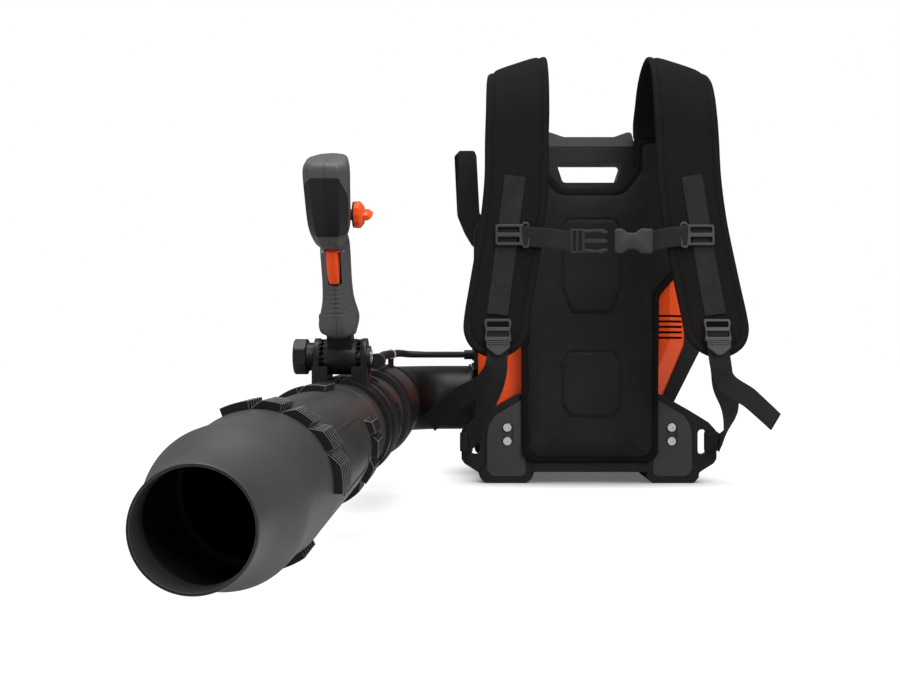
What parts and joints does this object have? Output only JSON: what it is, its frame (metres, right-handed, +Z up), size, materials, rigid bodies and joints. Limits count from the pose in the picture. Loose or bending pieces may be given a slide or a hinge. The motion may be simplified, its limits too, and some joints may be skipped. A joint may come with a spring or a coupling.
{
  "type": "backpack leaf blower",
  "caption": "Cordless backpack leaf blower: framed pack with padded harness, fan housing and battery, a swivelling air tube and a tilting control handle with trigger and speed dial.",
  "frame": {"origin": "centre of the footprint of the whole part, at the floor", "axes": "+X to the left-hand side of a person wearing it, +Y backwards from the wearer's back, -Y along the air tube to its mouth, +Z up"},
  "size_m": [0.5708, 1.1692, 0.559],
  "materials": {
    "black_plastic": "moulded black, fine texture",
    "grey_plastic": "moulded dark grey",
    "orange_plastic": "moulded orange",
    "tube_plastic": "smooth satin black",
    "grip_rubber": "soft black",
    "strap_fabric": "woven black with foam inside",
    "webbing": "woven nylon webbing",
    "steel": "zinc plated",
    "copper": "copper",
    "alu": "cast",
    "clip_plastic": "translucent grey"
  },
  "bodies": {
    "pack": {"back_frame": "black_plastic", "base_frame": "black_plastic", "leg_covers": "grey_plastic", "leg_bolts": "steel", "back_pad": "strap_fabric", "front_cover": "orange_plastic", "rear_cover": "black_plastic", "intake_grille": "black_plastic", "scroll_case": "black_plastic", "outlet_flange": "black_plastic", "motor_mount": "alu", "motor_stator": "copper", "motor_bearings": "steel", "controller": "alu", "battery_bay": "black_plastic", "terminal_block": "copper", "storage_hook": "black_plastic", "cover_screws": "steel", "conduit_gland": "black_plastic", "left_shoulder_strap": "strap_fabric", "right_shoulder_strap": "strap_fabric", "sewn_webbing": "webbing", "strap_sliders": "grey_plastic", "ladder_locks": "grey_plastic", "left_lower_webbing": "webbing", "right_lower_webbing": "webbing", "chest_webbing": "webbing", "buckle_plug": "grey_plastic", "buckle_socket": "grey_plastic"},
    "rotor": {"impeller": "grey_plastic", "motor_bell": "alu", "rotor_shaft": "steel"},
    "battery_pack": {"battery": "grey_plastic"},
    "latch_button": {"battery_latch": "orange_plastic"},
    "elbow": {"elbow_pipe": "black_plastic", "rear_hose_clamp": "steel"},
    "cuff_body": {"bellows": "grip_rubber", "cuff": "black_plastic", "front_hose_clamp": "steel", "conduit_clip": "clip_plastic", "conduit": "black_plastic"},
    "tube": {"blower_tube": "tube_plastic", "nozzle": "tube_plastic", "front_lugs": "grip_rubber", "rear_lugs": "grip_rubber", "swivel_collar": "black_plastic"},
    "bracket": {"clamp_bracket": "black_plastic", "clamp_nut": "steel"},
    "knob": {"clamp_knob": "black_plastic", "clamp_bolt": "steel"},
    "handle": {"tilt_barrel": "black_plastic", "grip_left_half": "grey_plastic", "grip_right_half": "grey_plastic", "head_cover": "black_plastic", "dial_seal": "grip_rubber", "grip_screws": "steel", "trigger_pin": "steel"},
    "trigger_body": {"trigger": "orange_plastic"},
    "dial_body": {"speed_dial": "orange_plastic"}
  },
  "joints": [
    {"name": "fan_spin", "type": "hinge", "parent": "pack", "child": "rotor", "pos_m": [0.0481, 0.40195, 0.235], "axis": [0, 1, 0], "continuous": true},
    {"name": "battery_slide", "type": "slide", "parent": "pack", "child": "battery_pack", "axis": [0, 0, 1], "range_m": [0, 0.13]},
    {"name": "battery_latch_press", "type": "slide", "parent": "pack", "child": "latch_button", "axis": [0, -1, 0], "range_m": [0, 0.003], "stiffness_N_per_m": 900, "springref_m": -0.004},
    {"name": "elbow_swivel", "type": "hinge", "parent": "pack", "child": "elbow", "pos_m": [-0.1019, 0.44795, 0.11], "axis": [1, 0, 0], "range_deg": [-35, 20], "deforming": ["conduit"]},
    {"name": "bellows_yaw", "type": "hinge", "parent": "elbow", "child": "cuff_body", "pos_m": [-0.2309, 0.3062, 0.11], "axis": [0, 0, 1], "range_deg": [-15, 15], "stiffness_Nm_per_rad": 4, "deforming": ["bellows", "conduit"]},
    {"name": "tube_roll", "type": "hinge", "parent": "cuff_body", "child": "tube", "pos_m": [-0.2309, 0.10045, 0.11], "axis": [0, 1, 0], "range_deg": [-40, 40], "deforming": ["conduit"]},
    {"name": "bracket_slide", "type": "slide", "parent": "tube", "child": "bracket", "axis": [0, -1, 0], "range_m": [0, 0.06], "deforming": ["conduit"]},
    {"name": "clamp_knob_turn", "type": "hinge", "parent": "bracket", "child": "knob", "pos_m": [-0.2609, -0.09055, 0.177], "axis": [1, 0, 0], "range_deg": [0, 540]},
    {"name": "handle_tilt", "type": "hinge", "parent": "bracket", "child": "handle", "pos_m": [-0.2309, -0.09055, 0.177], "axis": [1, 0, 0], "range_deg": [-30, 30]},
    {"name": "trigger_pull", "type": "hinge", "parent": "handle", "child": "trigger_body", "pos_m": [-0.2309, -0.14888, 0.26897], "axis": [1, 0, 0], "range_deg": [0, 14], "stiffness_Nm_per_rad": 0.9, "springref_deg": -8.02},
    {"name": "speed_dial_turn", "type": "hinge", "parent": "handle", "child": "dial_body", "pos_m": [-0.2084, -0.15431, 0.29953], "axis": [1, 0, 0], "range_deg": [0, 90]}
  ]
}
